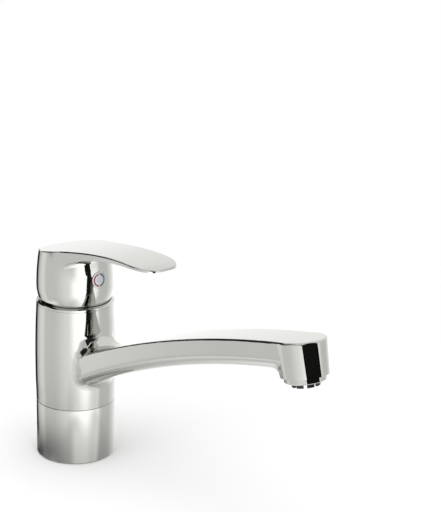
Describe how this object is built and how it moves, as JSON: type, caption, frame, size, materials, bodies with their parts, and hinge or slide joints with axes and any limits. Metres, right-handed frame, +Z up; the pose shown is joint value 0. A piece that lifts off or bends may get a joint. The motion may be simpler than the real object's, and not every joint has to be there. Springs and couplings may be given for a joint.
{
  "type": "kitchen mixer tap",
  "caption": "Single-lever kitchen mixer tap: round column, swivelling cast spout rising to a leaning nozzle, flat lever above it, and a round red and blue index plug.",
  "frame": {"origin": "on the column's axis, in the plane of the worktop that the base gasket stands on", "axes": "+Z up along the column's axis; the spout and the lever point along -Y, towards the user; +X is the user's right, so hot is on the -X side"},
  "size_m": [0.057, 0.2597, 0.1593],
  "materials": {
    "chrome": "polished chrome plating",
    "inner_cover": "bright chrome plating, hidden inside the lever's cup",
    "brass": "cast and machined brass",
    "rubber": "black moulded rubber",
    "glide_plastic": "off-white low-friction plastic",
    "cartridge_plastic": "light grey moulded plastic",
    "rotor_plastic": "blue moulded plastic",
    "stop_plastic": "red moulded plastic",
    "dark_plastic": "dark grey moulded plastic",
    "ceramic": "lapped ceramic",
    "steel": "stainless steel",
    "mark_red": "deep red enamel",
    "mark_blue": "grey-blue enamel",
    "index_white": "pale plastic"
  },
  "bodies": {
    "root": {"base_sleeve": "chrome", "base_gasket": "rubber", "valve_body": "brass", "swivel_stop_screw": "steel", "lower_glide_ring": "glide_plastic", "upper_glide_ring": "glide_plastic", "spout_seals": "rubber", "cap_ring": "chrome", "cartridge_base": "cartridge_plastic", "port_seals": "rubber", "fixed_disc": "ceramic", "cartridge_housing": "cartridge_plastic", "cartridge_nut": "brass", "dome_cover": "inner_cover", "temperature_stop_ring": "stop_plastic"},
    "spout": {"spout_body": "chrome", "aerator_housing": "chrome", "aerator_insert": "dark_plastic", "aerator_screen": "steel", "aerator_seal": "rubber"},
    "turn": {"cartridge_rotor": "rotor_plastic", "pivot_pin": "steel"},
    "tilt": {"lever_spindle": "steel", "lever_handle": "chrome", "spindle_bush": "glide_plastic", "lever_screw": "steel", "index_plug": "chrome", "index_mark_red": "mark_red", "index_mark_blue": "mark_blue", "index_centre": "index_white"},
    "slide": {"moving_disc": "ceramic", "disc_carrier": "rotor_plastic"}
  },
  "joints": [
    {"name": "spout_swivel", "type": "hinge", "parent": "root", "child": "spout", "pos_m": [0, 0, 0.08], "axis": [0, 0, 1], "range_deg": [-60, 60]},
    {"name": "lever_turn", "type": "hinge", "parent": "root", "child": "turn", "pos_m": [0, 0, 0.125], "axis": [0, 0, 1], "range_deg": [-50, 50]},
    {"name": "lever_tilt", "type": "hinge", "parent": "turn", "child": "tilt", "pos_m": [0, 0, 0.125], "axis": [-1, 0, 0], "range_deg": [0, 20]},
    {"name": "disc_slide", "type": "slide", "parent": "turn", "child": "slide", "axis": [0, -1, 0], "range_m": [0, 0.00765]}
  ],
  "couplings": [
    {"joint": "disc_slide", "follows": "lever_tilt", "m_per_rad": 0.021789}
  ]
}
